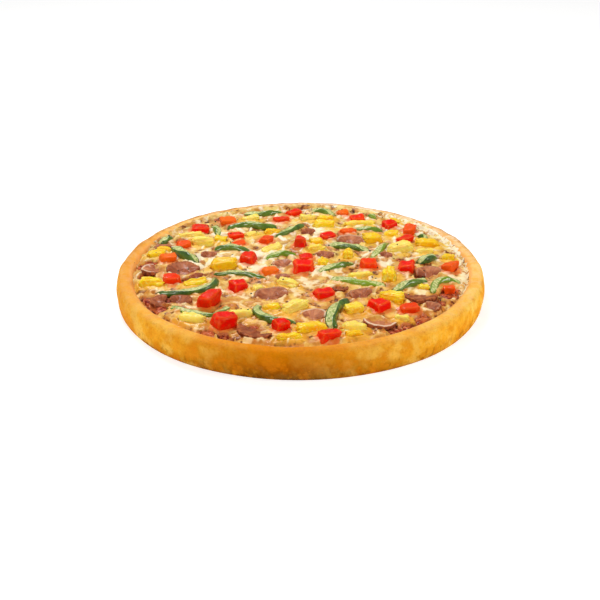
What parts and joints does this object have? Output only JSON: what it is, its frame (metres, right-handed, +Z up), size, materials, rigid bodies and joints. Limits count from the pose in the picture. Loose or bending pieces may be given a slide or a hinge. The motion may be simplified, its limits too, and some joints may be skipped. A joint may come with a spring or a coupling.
{
  "type": "pan pizza",
  "caption": "Whole uncut pan pizza: thick round dough with a raised rim, sauce, melted cheese, tomato dice, pineapple, green pepper strips and mushroom slices.",
  "frame": {"origin": "centre of the flat underside", "axes": "+Z up, -Y towards the side that faces the viewer in the picture"},
  "size_m": [0.2502, 0.2498, 0.0287],
  "materials": {
    "crust": "baked, golden, slightly oily",
    "sauce": "wet tomato sauce",
    "cheese": "melted, pale with golden spots",
    "tomato": "wet diced tomato",
    "pineapple": "wet pineapple",
    "pepper": "glossy green pepper skin",
    "mushroom": "cooked mushroom, brown edge"
  },
  "bodies": {
    "root": {"crust": "crust", "sauce": "sauce", "cheese": "cheese", "tomato_01": "tomato", "tomato_02": "tomato", "tomato_03": "tomato", "tomato_04": "tomato", "tomato_05": "tomato", "tomato_06": "tomato", "tomato_07": "tomato", "tomato_08": "tomato", "tomato_09": "tomato", "tomato_10": "tomato", "tomato_11": "tomato", "tomato_12": "tomato", "tomato_13": "tomato", "tomato_14": "tomato", "tomato_15": "tomato", "tomato_16": "tomato", "tomato_17": "tomato", "pineapple_01": "pineapple", "pineapple_02": "pineapple", "pineapple_03": "pineapple", "pineapple_04": "pineapple", "pineapple_05": "pineapple", "pineapple_06": "pineapple", "pineapple_07": "pineapple", "pineapple_08": "pineapple", "pineapple_09": "pineapple", "pineapple_10": "pineapple", "pineapple_11": "pineapple", "pineapple_12": "pineapple", "pineapple_13": "pineapple", "pineapple_14": "pineapple", "pineapple_15": "pineapple", "pepper_01": "pepper", "pepper_02": "pepper", "pepper_03": "pepper", "pepper_04": "pepper", "pepper_05": "pepper", "pepper_06": "pepper", "pepper_07": "pepper", "pepper_08": "pepper", "pepper_09": "pepper", "pepper_10": "pepper", "pepper_11": "pepper", "pepper_12": "pepper", "pepper_13": "pepper", "pepper_14": "pepper", "pepper_15": "pepper", "mushroom_01": "mushroom", "mushroom_02": "mushroom", "mushroom_03": "mushroom", "mushroom_04": "mushroom", "mushroom_05": "mushroom", "mushroom_06": "mushroom", "mushroom_07": "mushroom", "mushroom_08": "mushroom", "mushroom_09": "mushroom", "mushroom_10": "mushroom"}
  },
  "joints": []
}
